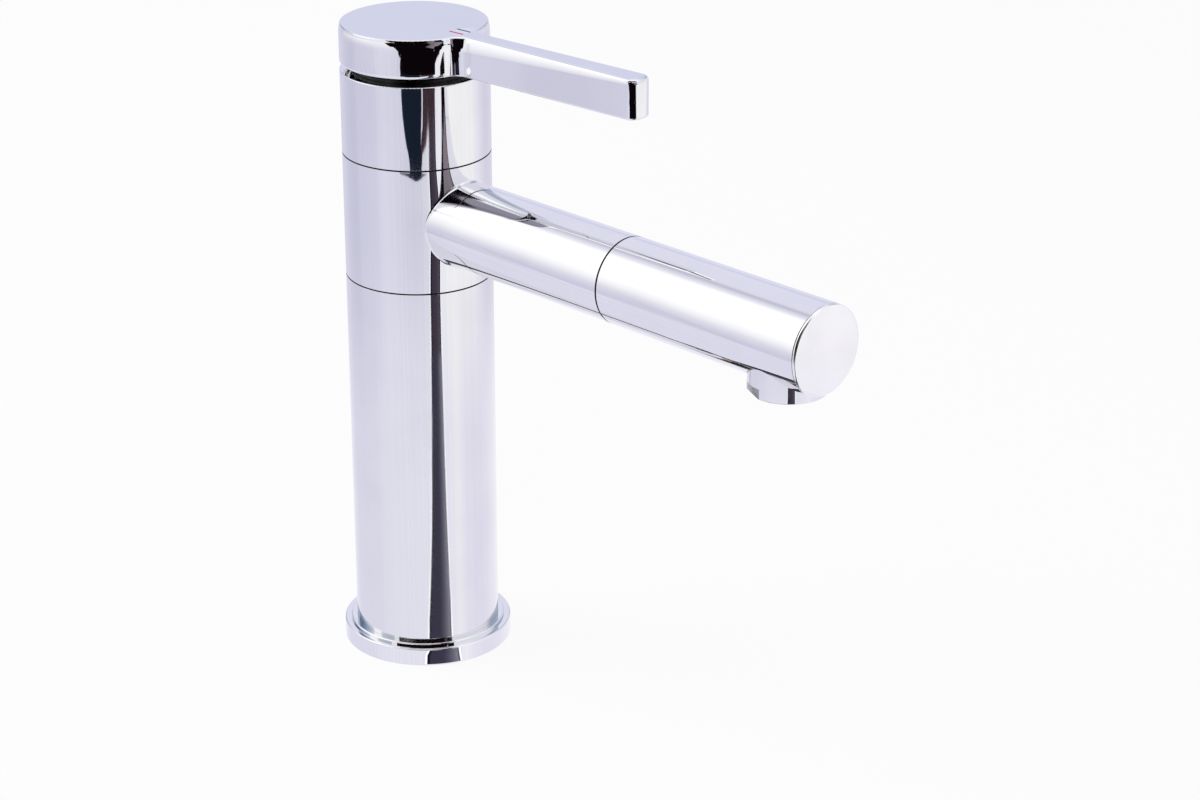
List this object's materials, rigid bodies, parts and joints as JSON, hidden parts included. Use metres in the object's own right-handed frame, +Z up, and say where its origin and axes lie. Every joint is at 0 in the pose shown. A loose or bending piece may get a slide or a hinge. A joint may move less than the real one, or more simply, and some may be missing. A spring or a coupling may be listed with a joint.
{
  "type": "single-lever basin mixer",
  "caption": "Deck-mounted single-lever basin mixer with a round column, a swivelling spout, a pull-out spray head and a flat lever that lifts and turns over a ceramic disc cartridge.",
  "frame": {"origin": "on the column's axis in the plane of the deck's top, where the base flange rests", "axes": "+X along the spout, away from the column, +Z up along the column, +Y to the right for someone who faces the spout's end"},
  "size_m": [0.2136, 0.0586, 0.2833],
  "materials": {
    "chromed_brass": "polished chrome plate",
    "raw_brass": "machined",
    "copper_tube": "drawn and slightly dull",
    "steel": "turned and zinc plated",
    "white_plastic": "moulded",
    "dark_plastic": "moulded",
    "grey_plastic": "moulded",
    "ceramic": "lapped",
    "black_rubber": "moulded",
    "red_enamel": "filled and polished",
    "blue_enamel": "filled and polished"
  },
  "bodies": {
    "fixed_body": {"base_flange": "chromed_brass", "base_seal": "black_rubber", "body_column": "chromed_brass", "mounting_shank": "raw_brass", "inlet_block": "raw_brass", "inlet_block_screws": "steel", "hot_pipe": "copper_tube", "cold_pipe": "copper_tube", "mixed_pipe": "copper_tube", "core_tube": "raw_brass", "lower_bearing": "white_plastic", "upper_bearing": "white_plastic", "valve_body": "raw_brass", "upper_sleeve": "chromed_brass", "cartridge_base": "grey_plastic", "cartridge_seals": "black_rubber", "fixed_disc": "ceramic", "cartridge_housing": "grey_plastic", "cartridge_nut": "steel"},
    "deck_clamp": {"deck_gasket": "black_rubber", "clamp_washer": "steel", "shank_nut": "raw_brass"},
    "spout": {"spout_body": "chromed_brass", "hose_guide": "white_plastic", "swivel_stop_screw": "steel"},
    "spray_head": {"docking_spigot": "raw_brass", "docking_ring": "black_rubber", "check_valve": "white_plastic", "head_core": "dark_plastic", "head_shell": "chromed_brass", "head_end_cap": "chromed_brass", "aerator_housing": "chromed_brass", "aerator_insert": "grey_plastic", "aerator_seal": "black_rubber"},
    "lever_carrier": {"stem_carrier": "white_plastic", "pivot_bracket": "steel", "bracket_screws": "steel", "pivot_pin": "steel"},
    "lever": {"handle": "chromed_brass", "pivot_block": "steel", "handle_grub_screw": "steel", "hot_mark": "red_enamel", "cold_mark": "blue_enamel"},
    "valve_disc": {"disc_driver": "white_plastic", "moving_disc": "ceramic"}
  },
  "joints": [
    {"name": "spout_swivel", "type": "hinge", "parent": "fixed_body", "child": "spout", "pos_m": [0, 0, 0.1585], "axis": [0, 0, 1], "range_deg": [-60, 60]},
    {"name": "spray_head_pull", "type": "slide", "parent": "spout", "child": "spray_head", "axis": [1, 0, 0], "range_m": [0, 0.06]},
    {"name": "temperature_turn", "type": "hinge", "parent": "fixed_body", "child": "lever_carrier", "pos_m": [0, 0, 0.2], "axis": [0, 0, 1], "range_deg": [-49, 41]},
    {"name": "lever_lift", "type": "hinge", "parent": "lever_carrier", "child": "lever", "pos_m": [-0.01696, -0.00119, 0.215], "axis": [0.0698, -0.9976, 0], "range_deg": [0, 16]},
    {"name": "disc_slide", "type": "slide", "parent": "lever_carrier", "child": "valve_disc", "axis": [0.9976, 0.0698, 0], "range_m": [0, 0.00553]},
    {"name": "deck_clamp_slide", "type": "slide", "parent": "fixed_body", "child": "deck_clamp", "axis": [0, 0, 1], "range_m": [-0.018, 0.0145]}
  ],
  "couplings": [
    {"joint": "disc_slide", "follows": "lever_lift", "m_per_rad": 0.0198}
  ]
}
